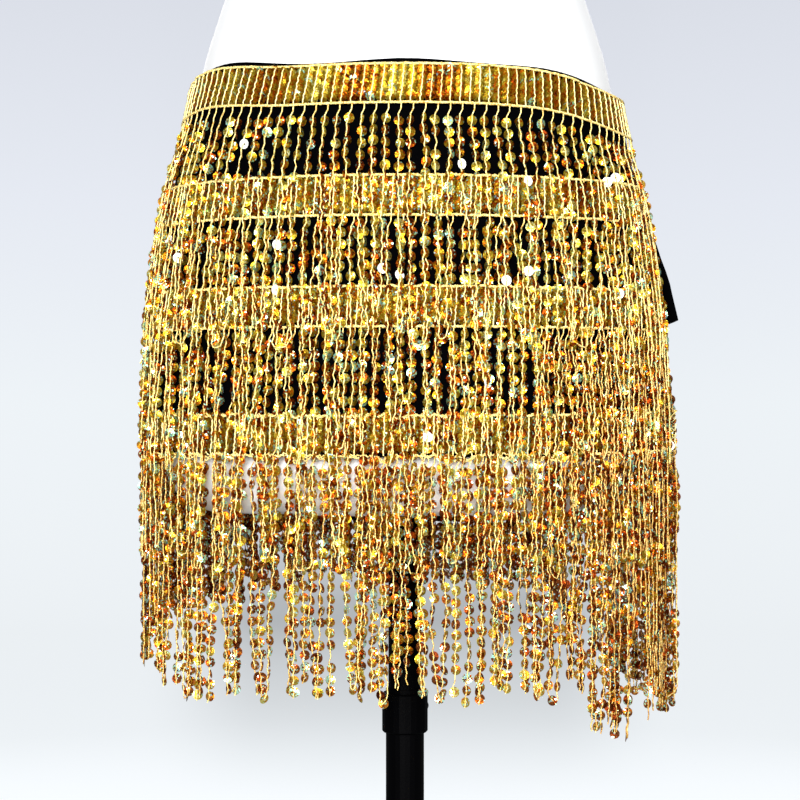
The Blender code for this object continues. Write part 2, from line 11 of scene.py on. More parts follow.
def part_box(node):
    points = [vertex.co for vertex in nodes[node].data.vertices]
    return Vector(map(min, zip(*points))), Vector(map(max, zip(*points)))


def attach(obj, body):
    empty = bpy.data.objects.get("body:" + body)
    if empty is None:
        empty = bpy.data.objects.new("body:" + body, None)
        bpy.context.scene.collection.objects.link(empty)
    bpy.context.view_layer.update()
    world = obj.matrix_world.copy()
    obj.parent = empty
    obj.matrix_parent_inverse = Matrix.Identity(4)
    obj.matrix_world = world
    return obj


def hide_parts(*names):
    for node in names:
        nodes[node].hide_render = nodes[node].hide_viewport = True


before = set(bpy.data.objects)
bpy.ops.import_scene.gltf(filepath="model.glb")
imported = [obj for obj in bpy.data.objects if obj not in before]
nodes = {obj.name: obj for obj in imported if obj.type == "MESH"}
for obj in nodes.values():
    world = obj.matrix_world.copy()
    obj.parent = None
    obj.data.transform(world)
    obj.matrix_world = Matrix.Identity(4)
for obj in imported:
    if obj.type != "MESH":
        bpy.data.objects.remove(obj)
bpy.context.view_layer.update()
collection = bpy.context.scene.collection

# The camera stands level in front of the hips, a little left of the pole, as in the photograph.
FOCAL_LENGTH = 87.75
FILM_WIDTH = 36.0
CAMERA_PLACE = (-0.0033, -1.3, 0.733)
camera_data = bpy.data.cameras.new("camera")
camera_data.lens = FOCAL_LENGTH
camera_data.sensor_width = FILM_WIDTH
camera = bpy.data.objects.new("camera", camera_data)
camera.location = CAMERA_PLACE
camera.rotation_euler = (math.radians(90.0), 0.0, 0.0)
collection.objects.link(camera)
bpy.context.scene.camera = camera


# The stand is powder-coated steel: a pressed round foot with a welded boss, a lower tube, and
# the mast that slides in it. Its coat is a dull orange-peel black.
def shader_material(name, **sockets):
    """A new material and its Principled shader, with the named sockets set."""
    made = bpy.data.materials.new(name)
    made.use_nodes = True
    shader = made.node_tree.nodes["Principled BSDF"]
    for socket, value in sockets.items():
        shader.inputs[socket.replace("_", " ")].default_value = value
    return made, shader


def add_node(tree, kind, **inputs):
    """A node of a tree, with its inputs set by name."""
    made = tree.nodes.new(kind)
    for name, value in inputs.items():
        made.inputs[name.replace("_", " ")].default_value = value
    return made


def bump(tree, shader, height, distance, strength):
    """Joins a height to a shader as fine relief."""
    relief = add_node(tree, "ShaderNodeBump", Strength=strength, Distance=distance)
    tree.links.new(height, relief.inputs["Height"])
    tree.links.new(relief.outputs["Normal"], shader.inputs["Normal"])


def ramp(tree, stops):
    """A colour ramp from (place, colour) stops."""
    made = tree.nodes.new("ShaderNodeValToRGB")
    while len(made.color_ramp.elements) < len(stops):
        made.color_ramp.elements.new(0.5)
    for element, (where, colour) in zip(made.color_ramp.elements, stops):
        element.position = where
        element.color = (*colour, 1.0)
    return made


COAT_BLACK = (0.0006, 0.0006, 0.0008, 1.0)
COAT_DULLNESS = (0.36, 0.58)
powder_coat, shader = shader_material("black powder coat", Base_Color=COAT_BLACK)
shader.inputs["Specular IOR Level"].default_value = 0.02
tree = powder_coat.node_tree
place = add_node(tree, "ShaderNodeTexCoord")
peel = add_node(tree, "ShaderNodeTexNoise", Scale=900.0, Detail=3.0)
tree.links.new(place.outputs["Object"], peel.inputs["Vector"])
bump(tree, shader, peel.outputs["Fac"], distance=0.0002, strength=0.5)
wear = add_node(tree, "ShaderNodeTexNoise", Scale=35.0, Detail=5.0)
tree.links.new(place.outputs["Object"], wear.inputs["Vector"])
gloss = add_node(tree, "ShaderNodeMapRange", To_Min=COAT_DULLNESS[0], To_Max=COAT_DULLNESS[1])
tree.links.new(wear.outputs["Fac"], gloss.inputs["Value"])
tree.links.new(gloss.outputs["Result"], shader.inputs["Roughness"])
for part in ("stand_foot", "stand_tube", "stand_collar", "mast_tube", "form_flange"):
    nodes[part].data.materials.clear()
    nodes[part].data.materials.append(powder_coat)


def mesh_piece(name, data, *finishes):
    """An object at the origin for a finished mesh."""
    for finish in finishes:
        data.materials.append(finish)
    made = bpy.data.objects.new(name, data)
    collection.objects.link(made)
    return made


def from_bmesh(name, bm, *finishes):
    """Closes a bmesh into a smooth object at the origin."""
    data = bpy.data.meshes.new(name)
    bm.to_mesh(data)
    bm.free()
    data.shade_smooth()
    return mesh_piece(name, data, *finishes)


# The clamp screw has a moulded black grip with six finger lobes on a steel thread, and turns
# through the collar to hold the mast. The grip's rim is rounded.
GRIP_LOBES = 6
LOBE_DEPTH = 0.0011
LOBED_FROM = 0.004
GRIP_STEPS = 72
GRIP_CREASE = math.radians(35.0)
SCREW_TURN = math.radians(75.0)
SCREW_HEIGHT = 0.526
SCREW_PROFILE = (
    (0.0113, 0.0000), (0.0113, 0.0029), (0.0174, 0.0029), (0.0175, 0.0086), (0.0182, 0.0098),
    (0.0195, 0.0102), (0.0240, 0.0102), (0.0262, 0.0097), (0.0273, 0.0080), (0.0275, 0.0050),
    (0.0268, 0.0035), (0.0268, 0.0000),
)
bm = bmesh.new()
rings = []
for out, radius in SCREW_PROFILE:
    depth = LOBE_DEPTH if radius > LOBED_FROM else 0.0
    ring = []
    for step in range(GRIP_STEPS):
        angle = math.tau * step / GRIP_STEPS
        grip = radius - depth * (0.5 - 0.5 * math.cos(GRIP_LOBES * angle))
        ring.append(bm.verts.new((out, grip * math.cos(angle), grip * math.sin(angle))))
    rings.append(ring)
for low, high in zip(rings, rings[1:]):
    for i in range(GRIP_STEPS):
        j = (i + 1) % GRIP_STEPS
        bm.faces.new((low[i], low[j], high[j], high[i]))
bmesh.ops.remove_doubles(bm, verts=bm.verts, dist=1e-6)
bmesh.ops.recalc_face_normals(bm, faces=bm.faces)
screw_way = Vector((math.cos(SCREW_TURN), math.sin(SCREW_TURN), 0.0))
bmesh.ops.rotate(bm, verts=bm.verts, cent=(0, 0, 0),
                 matrix=Vector((1, 0, 0)).rotation_difference(screw_way).to_matrix())
bmesh.ops.translate(bm, verts=bm.verts, vec=(0, 0, SCREW_HEIGHT))
grip_piece = from_bmesh("clamp_screw_grip", bm, powder_coat)
grip_piece.data.set_sharp_from_angle(angle=GRIP_CREASE)
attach(grip_piece, "stand")
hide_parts("clamp_screw")

# The dress form is moulded foam under a stretched white jersey cover, limbless and smooth. The
# cover's knit shows only as a fine tooth, and its white is a little cloudy.
JERSEY_SHADES = ((0.0, (0.74, 0.745, 0.75)), (1.0, (0.80, 0.80, 0.79)))
TORSO_CREASE = math.radians(50.0)


def math_node(tree, operation, *values):
    """Arithmetic on sockets or plain numbers."""
    made = tree.nodes.new("ShaderNodeMath")
    made.operation = operation
    for socket, value in zip(made.inputs, values):
        if isinstance(value, float):
            socket.default_value = value
        else:
            tree.links.new(value, socket)
    return made.outputs["Value"]


jersey, shader = shader_material("white jersey", Roughness=0.62, Sheen_Weight=0.25, Sheen_Roughness=0.5)
tree = jersey.node_tree
place = add_node(tree, "ShaderNodeTexCoord")
ribs = add_node(tree, "ShaderNodeTexWave", Scale=420.0, Distortion=1.2, Detail=1.0)
tree.links.new(place.outputs["Object"], ribs.inputs["Vector"])
rows = add_node(tree, "ShaderNodeTexWave", Scale=520.0, Distortion=1.0, Detail=1.0)
rows.bands_direction = "Z"
tree.links.new(place.outputs["Object"], rows.inputs["Vector"])
knit = math_node(tree, "MULTIPLY", ribs.outputs["Fac"], rows.outputs["Fac"])
bump(tree, shader, knit, distance=0.00015, strength=0.35)
cloudy = add_node(tree, "ShaderNodeTexNoise", Scale=9.0, Detail=4.0)
tree.links.new(place.outputs["Object"], cloudy.inputs["Vector"])
shade = ramp(tree, JERSEY_SHADES)
tree.links.new(cloudy.outputs["Fac"], shade.inputs["Fac"])
tree.links.new(shade.outputs["Color"], shader.inputs["Base Color"])


def soft_copy(node, levels, kind="CATMULL_CLARK"):
    """A subdivided copy of a CAD node's shape, as a plain mesh."""
    bm = bmesh.new()
    bm.from_mesh(nodes[node].data)
    bmesh.ops.remove_doubles(bm, verts=bm.verts, dist=1e-5)
    bmesh.ops.join_triangles(bm, faces=bm.faces, angle_face_threshold=0.7,
                             angle_shape_threshold=1.2, cmp_seam=False)
    data = bpy.data.meshes.new(node)
    bm.to_mesh(data)
    bm.free()
    held = bpy.data.objects.new("held", data)
    collection.objects.link(held)
    rounding = held.modifiers.new("rounding", "SUBSURF")
    rounding.subdivision_type = kind
    rounding.levels = levels
    rounding.render_levels = levels
    plain = bpy.data.meshes.new_from_object(
        held.evaluated_get(bpy.context.evaluated_depsgraph_get()))
    bpy.data.objects.remove(held)
    plain.materials.clear()
    plain.shade_smooth()
    return plain


torso = mesh_piece("form_torso_cover", soft_copy("form_torso", 1), jersey)
torso.data.set_sharp_from_angle(angle=TORSO_CREASE)
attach(torso, "form")
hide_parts("form_torso")

# The wrap is one strip of black stretch knit, hemmed all round, that lies on the hips and opens
# down the left side.
KNIT_BLACK = (0.0007, 0.0007, 0.001, 1.0)
black_knit, shader = shader_material("black knit", Base_Color=KNIT_BLACK, Roughness=0.95)
shader.inputs["Specular IOR Level"].default_value = 0.01
tree = black_knit.node_tree
place = add_node(tree, "ShaderNodeTexCoord")
knit_rows = add_node(tree, "ShaderNodeTexWave", Scale=330.0, Distortion=2.0, Detail=1.0)
knit_rows.bands_direction = "Z"
tree.links.new(place.outputs["Object"], knit_rows.inputs["Vector"])
bump(tree, shader, knit_rows.outputs["Fac"], distance=0.0003, strength=0.6)
wrap = mesh_piece("wrap_cloth_knit", soft_copy("wrap_cloth", 1), black_knit)
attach(wrap, "form")
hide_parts("wrap_cloth")


# What lies on the cloth is placed by the turn round the hips and the height. The hips' outline is
# read from the frame's own cloth and form, and below the hem it hangs straight down.
def shell_of(*names):
    """One search tree over several CAD nodes."""
    points, faces = [], []
    for name in names:
        start = len(points)
        data = nodes[name].data
        points += [v.co.copy() for v in data.vertices]
        faces += [[start + i for i in face.vertices] for face in data.polygons]
    return BVHTree.FromPolygons(points, faces)


hip_shell = shell_of("wrap_cloth", "form_torso")
ABOVE_HEM = 0.004
BELOW_TOP = 0.002
HEM_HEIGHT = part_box("wrap_cloth")[0].z + ABOVE_HEM
TOP_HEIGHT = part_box("wrap_cloth")[1].z - BELOW_TOP
OUTLINE_TURNS = 720
OUTLINE_ROWS = 34
OUTSIDE = 0.4
hip_radius = np.zeros((OUTLINE_ROWS, OUTLINE_TURNS))
for row, height in enumerate(np.linspace(HEM_HEIGHT, TOP_HEIGHT, OUTLINE_ROWS)):
    for turn in range(OUTLINE_TURNS):
        angle = math.tau * turn / OUTLINE_TURNS
        way = Vector((math.cos(angle), -math.sin(angle), 0.0))
        hit = hip_shell.ray_cast(Vector((0, 0, height)) + way * OUTSIDE, -way)[0]
        hip_radius[row, turn] = hit.xy.length


def hip_outline(turn, height):
    """Distance of the cloth's face from the pole's axis at a turn, in radians, and a height."""
    row = (height - HEM_HEIGHT) / (TOP_HEIGHT - HEM_HEIGHT)
    row = min(1.0, max(0.0, row)) * (OUTLINE_ROWS - 1)
    low = min(int(row), OUTLINE_ROWS - 2)
    column = (turn / math.tau * OUTLINE_TURNS) % OUTLINE_TURNS
    left = int(column) % OUTLINE_TURNS
    right = (left + 1) % OUTLINE_TURNS
    across = column - int(column)
    at_low = hip_radius[low, left] * (1 - across) + hip_radius[low, right] * across
    at_high = hip_radius[low + 1, left] * (1 - across) + hip_radius[low + 1, right] * across
    return at_low + (at_high - at_low) * (row - low)


def hip_point(turn, height):
    """The point on the cloth's face."""
    radius = hip_outline(turn, height)
    return Vector((radius * math.cos(turn), -radius * math.sin(turn), height))


NORMAL_SPREAD = 0.03
LEAST_AGREEMENT = 0.5
NORMAL_SOFTENING = 0.4


def hip_normal(turn, height):
    """The level direction that points away from the cloth, smoothed along the outline."""
    along = hip_point(turn + NORMAL_SPREAD, height) - hip_point(turn - NORMAL_SPREAD, height)
    out = Vector((math.cos(turn), -math.sin(turn), 0.0))
    face = Vector((-along.y, along.x, 0.0)).normalized()
    return out if face.dot(out) < LEAST_AGREEMENT else face.lerp(out, NORMAL_SOFTENING).normalized()


def on_hip(turn, height, off):
    """A point that stands off the cloth by a distance."""
    return hip_point(turn, height) + hip_normal(turn, height) * off


def band_edges(number):
    """The turns round a band's length, with the heights of its lower and upper edge at each."""
    name = f"band_{number}"
    middle = sum(corner.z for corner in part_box(name)) / 2
    low, high = [], []
    for vertex in nodes[name].data.vertices:
        turn = math.atan2(-vertex.co.y, vertex.co.x) % math.tau
        (high if vertex.co.z > middle else low).append((turn, vertex.co.z))
    turns, lows = zip(*sorted(low))
    return turns, lows, np.interp(turns, *zip(*sorted(high)))


# The wrap's top edge shows above the first band, and waves a little there.
EDGE_WAVE = 0.0010
EDGE_WAVES = 6.0
EDGE_CREST = math.radians(150.0)
turns, lows, highs = band_edges(1)
for vertex in wrap.data.vertices:
    turn = math.atan2(-vertex.co.y, vertex.co.x) % math.tau
    above = vertex.co.z - float(np.interp(turn, turns, highs))
    if above > 0.0:
        share = min(1.0, above / (2.0 * EDGE_WAVE))
        vertex.co.z += EDGE_WAVE * share * math.cos(EDGE_WAVES * (turn - EDGE_CREST))


MEASURED_STEPS = 900


def spaced_turns(turns, height, pitch):
    """Turns at an even pitch along the cloth's outline, from a band's start to its end."""
    fine = np.linspace(turns[0], turns[-1], MEASURED_STEPS)
    spots = [hip_point(t, height) for t in fine]
    reach = np.concatenate([[0.0], np.cumsum([(b - a).length for a, b in zip(spots, spots[1:])])])
    count = max(2, round(reach[-1] / pitch))
    return np.interp(np.linspace(0.0, reach[-1], count + 1), reach, fine)


# Sequins are punched from thin gold hologram film, 6.5 mm round and cupped, with a small hole in
# the middle. They let some amber light through. Their gold runs from dark red-brown to pale gold,
# from sequin to sequin and over the film's fine grain. This is partly the film's own colour and
# partly painted reflection, with dark and pale cells standing in for facets that catch the light
# or miss it. Painted green glints sit on a little of the grain, or on half of it on a few bright
# sequins. A few other sequins are painted plain white as highlights.
SEQUIN_RADIUS = 0.00325
HOLE_RADIUS = 0.0006
SEQUIN_SIDES = 12
GLITTER_CELLS = 1050.0
SEQUIN_TINT = 0.74
GRAIN_AND_SHEEN_TINT = 0.66
GRAIN_AND_SHEEN_SHIFT = -0.28
GOLD_SHADES = (
    (0.00, (0.090, 0.012, 0.001)), (0.14, (0.34, 0.040, 0.002)), (0.28, (0.60, 0.120, 0.003)),
    (0.40, (0.44, 0.220, 0.008)), (0.60, (0.46, 0.320, 0.016)), (0.78, (0.82, 0.630, 0.050)),
    (0.90, (0.98, 0.850, 0.200)), (1.00, (1.00, 0.960, 0.500)),
)
GREEN_HUES = (0.24, 0.54)
GREEN_DEPTH = 0.50
GREEN_BRIGHTNESS = 0.95
TINT_SHUFFLE = 7.31
BRIGHT_FROM = 0.93
BRIGHT_FLASH = 0.45
FLASH_FROM = 0.92
PAINTED_HIGHLIGHT_FROM = 0.986
PAINTED_HIGHLIGHT_WHITE = (1.0, 1.0, 0.96, 1.0)
SEQUIN_METAL = 0.52
SEQUIN_CLEARNESS = 0.85


def attribute_of(tree, name):
    """The value that a piece's points carry under a name."""
    made = tree.nodes.new("ShaderNodeAttribute")
    made.attribute_name = name
    return made.outputs["Fac"]


def mixed(tree, kind, factor, first, second):
    """Mixes two colours, given as sockets or plain colours."""
    made = tree.nodes.new("ShaderNodeMix")
    made.data_type = "RGBA"
    made.blend_type = kind
    for socket, value in (("Factor", factor), ("A", first), ("B", second)):
        if isinstance(value, tuple):
            made.inputs[socket].default_value = value
        else:
            tree.links.new(value, made.inputs[socket])
    return made.outputs["Result"]


hologram, shader = shader_material("gold hologram sequin", Roughness=0.34, IOR=1.08)
tree = hologram.node_tree
tint = attribute_of(tree, "tint")
grain_and_glint_share = attribute_of(tree, "glitter")
place = add_node(tree, "ShaderNodeTexCoord")
cells = add_node(tree, "ShaderNodeTexVoronoi", Scale=GLITTER_CELLS)
tree.links.new(place.outputs["Object"], cells.inputs["Vector"])
split = add_node(tree, "ShaderNodeSeparateColor")
tree.links.new(cells.outputs["Color"], split.inputs["Color"])
# Painted reflection, partly the film's own tint: each grain cell shifts the gold darker or paler.
grain_and_sheen = math_node(tree, "MULTIPLY_ADD", split.outputs["Red"], GRAIN_AND_SHEEN_TINT, GRAIN_AND_SHEEN_SHIFT)
grain_and_sheen = math_node(tree, "MULTIPLY", grain_and_sheen, grain_and_glint_share)
gold = ramp(tree, GOLD_SHADES)
tree.links.new(math_node(tree, "MULTIPLY_ADD", tint, SEQUIN_TINT, grain_and_sheen), gold.inputs["Fac"])
# Painted green glints: some grain cells are made green, and more of them on a few bright sequins.
painted_green_glint = add_node(tree, "ShaderNodeCombineColor", Green=GREEN_DEPTH, Blue=GREEN_BRIGHTNESS)
painted_green_glint.mode = "HSV"
hue = add_node(tree, "ShaderNodeMapRange", To_Min=GREEN_HUES[0], To_Max=GREEN_HUES[1])
tree.links.new(split.outputs["Green"], hue.inputs["Value"])
tree.links.new(hue.outputs["Result"], painted_green_glint.inputs["Red"])
odd_tint = math_node(tree, "FRACT", math_node(tree, "MULTIPLY", tint, TINT_SHUFFLE))
is_bright = math_node(tree, "GREATER_THAN", odd_tint, BRIGHT_FROM)
painted_glint = math_node(tree, "MULTIPLY", split.outputs["Blue"], grain_and_glint_share)
painted_glint = math_node(tree, "MULTIPLY_ADD", is_bright, BRIGHT_FLASH, painted_glint)
painted_glint = math_node(tree, "GREATER_THAN", painted_glint, FLASH_FROM)
glitter = mixed(tree, "MIX", painted_glint, gold.outputs["Color"], painted_green_glint.outputs["Color"])
# Painted highlights: a few sequins are made plain diffuse white, neither metal nor clear.
is_painted_highlight = math_node(tree, "GREATER_THAN", tint, PAINTED_HIGHLIGHT_FROM)
tree.links.new(mixed(tree, "MIX", is_painted_highlight, glitter, PAINTED_HIGHLIGHT_WHITE), shader.inputs["Base Color"])
for amount, socket in ((SEQUIN_METAL, "Metallic"), (SEQUIN_CLEARNESS, "Transmission Weight")):
    unless_painted_highlight = add_node(tree, "ShaderNodeMapRange", To_Min=amount, To_Max=0.0)
    tree.links.new(is_painted_highlight, unless_painted_highlight.inputs["Value"])
    tree.links.new(unless_painted_highlight.outputs["Result"], shader.inputs[socket])
bump(tree, shader, cells.outputs["Distance"], distance=0.00025, strength=0.6)

# The thread is soft pale gold lurex, chained through every sequin, and paler where it twists.
# It also follows its strand's shade value, so it takes on the painted shade and painted reflection
# given to the sequins.
LUREX_SHADES = (
    (0.16, (0.20, 0.045, 0.004)), (0.36, (0.66, 0.33, 0.05)), (0.47, (0.93, 0.70, 0.20)),
    (0.64, (1.0, 0.90, 0.44)),
)
STRAND_SHADE = 0.28
lurex, shader = shader_material("pale gold lurex thread", Metallic=0.10, Roughness=0.50)
tree = lurex.node_tree
place = add_node(tree, "ShaderNodeTexCoord")
twist = add_node(tree, "ShaderNodeTexNoise", Scale=1100.0, Detail=2.0)
tree.links.new(place.outputs["Object"], twist.inputs["Vector"])
bump(tree, shader, twist.outputs["Fac"], distance=0.0003, strength=0.5)
thread_shade = ramp(tree, LUREX_SHADES)
# Painted shade and reflection reach the thread through its strand's shade value.
thread_tint = math_node(
    tree, "MULTIPLY_ADD", attribute_of(tree, "shade"), STRAND_SHADE, twist.outputs["Fac"])
tree.links.new(thread_tint, thread_shade.inputs["Fac"])
tree.links.new(thread_shade.outputs["Color"], shader.inputs["Base Color"])


def string_tree():
    """Geometry Nodes: makes each line a thread, with a sequin at every point marked as strung."""
    made = bpy.data.node_groups.new("sequin string", "GeometryNodeTree")
    face = made.interface
    face.new_socket("Geometry", in_out="INPUT", socket_type="NodeSocketGeometry")
    for name, value in (("Thread Radius", 0.00050), ("Sequin Radius", SEQUIN_RADIUS),
                        ("Cup", 0.0007), ("Yaw Spread", 1.05), ("Tilt Spread", 0.32),
                        ("Sink", 0.0009), ("Tint Spread", 1.0), ("Glitter", 1.0)):
        face.new_socket(name, in_out="INPUT", socket_type="NodeSocketFloat").default_value = value
    for name, value in (("Seed", 1), ("Thread Sides", 4)):
        face.new_socket(name, in_out="INPUT", socket_type="NodeSocketInt").default_value = value
    face.new_socket("Geometry", in_out="OUTPUT", socket_type="NodeSocketGeometry")
    given = made.nodes.new("NodeGroupInput")
    result = made.nodes.new("NodeGroupOutput")

    def node(kind, **settings):
        new = made.nodes.new(kind)
        for key, value in settings.items():
            setattr(new, key, value)
        return new

    def join(a, b):
        made.links.new(a, b)

    def attribute(name, kind):
        new = node("GeometryNodeInputNamedAttribute", data_type=kind)
        new.inputs["Name"].default_value = name
        return new.outputs["Attribute"]

    def negative(value):
        new = node("ShaderNodeMath", operation="MULTIPLY")
        new.inputs[1].default_value = -1.0
        join(value, new.inputs[0])
        return new.outputs["Value"]

    def seed(shift):
        new = node("ShaderNodeMath", operation="ADD")
        new.inputs[1].default_value = shift
        join(given.outputs["Seed"], new.inputs[0])
        return new.outputs["Value"]

    def between(spread, shift):
        new = node("FunctionNodeRandomValue", data_type="FLOAT")
        join(negative(spread), new.inputs["Min"])
        join(spread, new.inputs["Max"])
        join(seed(shift), new.inputs["Seed"])
        return new.outputs["Value"]

    def over_half(value):
        new = node("FunctionNodeCompare", data_type="FLOAT", operation="GREATER_THAN")
        join(value, new.inputs["A"])
        new.inputs["B"].default_value = 0.5
        return new.outputs["Result"]

    def stored(geometry, name, value):
        new = node("GeometryNodeStoreNamedAttribute", data_type="FLOAT", domain="INSTANCE")
        new.inputs["Name"].default_value = name
        join(geometry, new.inputs["Geometry"])
        if isinstance(value, float):
            new.inputs["Value"].default_value = value
        else:
            join(value, new.inputs["Value"])
        return new.outputs["Geometry"]

    def painted(geometry, finish):
        new = node("GeometryNodeSetMaterial")
        new.inputs["Material"].default_value = finish
        join(geometry, new.inputs["Geometry"])
        return new

    def turn_by(rotation, axis, angle, space):
        about = node("FunctionNodeAxisAngleToRotation")
        about.inputs["Axis"].default_value = axis
        join(angle, about.inputs["Angle"])
        new = node("FunctionNodeRotateRotation", rotation_space=space)
        join(rotation, new.inputs["Rotation"])
        join(about.outputs["Rotation"], new.inputs["Rotate By"])
        return new.outputs["Rotation"]

    curves = node("GeometryNodeMeshToCurve")
    join(given.outputs["Geometry"], curves.inputs["Mesh"])
    profile = node("GeometryNodeCurvePrimitiveCircle")
    join(given.outputs["Thread Sides"], profile.inputs["Resolution"])
    join(given.outputs["Thread Radius"], profile.inputs["Radius"])
    thread = node("GeometryNodeCurveToMesh")
    thread.inputs["Fill Caps"].default_value = True
    join(curves.outputs["Curve"], thread.inputs["Curve"])
    join(profile.outputs["Curve"], thread.inputs["Profile Curve"])

    facing = attribute("facing", "FLOAT_VECTOR")
    spots = node("GeometryNodeMeshToPoints")
    join(given.outputs["Geometry"], spots.inputs["Mesh"])
    join(over_half(attribute("strung", "FLOAT")), spots.inputs["Selection"])
    behind = node("ShaderNodeVectorMath", operation="SCALE")
    join(facing, behind.inputs[0])
    join(negative(given.outputs["Sink"]), behind.inputs["Scale"])
    sunk = node("GeometryNodeSetPosition")
    join(spots.outputs["Points"], sunk.inputs["Geometry"])
    join(behind.outputs["Vector"], sunk.inputs["Offset"])

    cone = node("GeometryNodeMeshCone", fill_type="NONE")
    cone.inputs["Vertices"].default_value = SEQUIN_SIDES
    cone.inputs["Side Segments"].default_value = 1
    cone.inputs["Radius Top"].default_value = HOLE_RADIUS
    join(given.outputs["Sequin Radius"], cone.inputs["Radius Bottom"])
    join(given.outputs["Cup"], cone.inputs["Depth"])
    face_out = node("FunctionNodeAlignRotationToVector", axis="Z")
    join(facing, face_out.inputs["Vector"])
    rotation = turn_by(face_out.outputs["Rotation"], (0.0, 0.0, 1.0),
                       between(given.outputs["Yaw Spread"], 0.0), "GLOBAL")
    rotation = turn_by(rotation, (1.0, 0.0, 0.0), between(given.outputs["Tilt Spread"], 7.0), "LOCAL")
    rotation = turn_by(rotation, (0.0, 1.0, 0.0), between(given.outputs["Tilt Spread"], 8.0), "LOCAL")
    strung = node("GeometryNodeInstanceOnPoints")
    join(sunk.outputs["Geometry"], strung.inputs["Points"])
    join(cone.outputs["Mesh"], strung.inputs["Instance"])
    join(rotation, strung.inputs["Rotation"])
    chance = node("FunctionNodeRandomValue", data_type="FLOAT")
    join(seed(31.0), chance.inputs["Seed"])
    join(given.outputs["Tint Spread"], chance.inputs["Max"])
    # The strand's shade value, which carries painted shade and painted reflection, shifts each sequin's
    # tint.
    shaded = node("ShaderNodeMath", operation="ADD")
    join(chance.outputs["Value"], shaded.inputs[0])
    join(attribute("shade", "FLOAT"), shaded.inputs[1])
    sequins = stored(strung.outputs["Instances"], "tint", shaded.outputs["Value"])
    sequins = stored(sequins, "sequin", 1.0)
    sequins = stored(sequins, "glitter", given.outputs["Glitter"])

    both = node("GeometryNodeJoinGeometry")
    join(sequins, both.inputs["Geometry"])
    join(thread.outputs["Mesh"], both.inputs["Geometry"])
    real = node("GeometryNodeRealizeInstances")
    join(both.outputs["Geometry"], real.inputs["Geometry"])
    thread_paint = painted(real.outputs["Geometry"], lurex)
    sequin_paint = painted(thread_paint.outputs["Geometry"], hologram)
    join(over_half(attribute("sequin", "FLOAT")), sequin_paint.inputs["Selection"])
    join(sequin_paint.outputs["Geometry"], result.inputs["Geometry"])
    return made


sequin_string = string_tree()


def strung_piece(name, lines, **sizes):
    """Runs the string tree over lines of (point, facing direction, strung or not, shade)."""
    points, edges, facing, strung, shades = [], [], [], [], []
    for line in lines:
        start = len(points)
        for spot, face, has_sequin, shade in line:
            points.append(spot)
            facing.append(face)
            strung.append(has_sequin)
            shades.append(shade)
        edges += [(start + i, start + i + 1) for i in range(len(line) - 1)]
    data = bpy.data.meshes.new(name + "_lines")
    data.from_pydata(points, edges, [])
    data.attributes.new("facing", "FLOAT_VECTOR", "POINT").data.foreach_set(
        "vector", np.array(facing, np.float32).ravel())
    data.attributes.new("strung", "FLOAT", "POINT").data.foreach_set(
        "value", np.array(strung, np.float32))
    data.attributes.new("shade", "FLOAT", "POINT").data.foreach_set(
        "value", np.array(shades, np.float32))
    held = bpy.data.objects.new("held", data)
    collection.objects.link(held)
    stringing = held.modifiers.new("stringing", "NODES")
    stringing.node_group = sequin_string
    for socket in sequin_string.interface.items_tree:
        if socket.in_out == "INPUT" and socket.name in sizes:
            stringing[socket.identifier] = sizes[socket.name]
    plain = bpy.data.meshes.new_from_object(
        held.evaluated_get(bpy.context.evaluated_depsgraph_get()))
    bpy.data.objects.remove(held)
    plain.name = name
    return mesh_piece(name, plain)


# Each band is a close run of sequin columns sewn flat on the cloth, 25 mm deep. The sequins of a
# column overlap like tiles, a lurex thread runs down over each column, and a thick chain of the
# same thread is worked along the band's two edges. Along each band, slow patches and smaller spots
# from tile to tile are painted darker red-brown or paler gold into the sequins and their thread.
# This is painted reflection, in place of the film catching the light differently as the columns turn.
BAND_SEED = 100
COLUMN_PITCH = 0.0059
COLUMN_SLANTS = (0.16, 0.06, 0.09, 0.05)
COLUMN_START = 0.6
TILE_PITCH = 0.0018
TILE_LEAN = math.radians(24.0)
TILE_INSET = 0.0030
TILE_SHIFT = 0.0003
TILE_PROUD = (-0.0002, 0.0003)
TURN_RADIUS = 0.15
BAND_OFF = 0.0035
BAND_SINK = 0.0023
BAND_GLITTER = (0.90, 0.98, 0.98, 0.98)
PATCH_SHADE = 0.40
WIDE_PATCHES = (0.65, 4.0)
NARROW_PATCHES = (0.30, 17.0)
TILE_PATCHES = (0.25, 30.0, 160.0)
DEEPEST_SHINE = 0.62
CHAIN_RADIUS = 0.00048
CHAIN_SWING = 0.00055
CHAIN_STRANDS = 3
CHAIN_UNEVEN = (0.0004, 0.0008, 0.0010, 0.0026)
UNEVEN_WAVES = 30.0
CHAIN_OFF = 0.0036
CHAIN_STITCH = 0.0030
STITCH_STEPS = 5
CHAIN_DROOP = 0.0080
DROOP_WAVES = 14.0
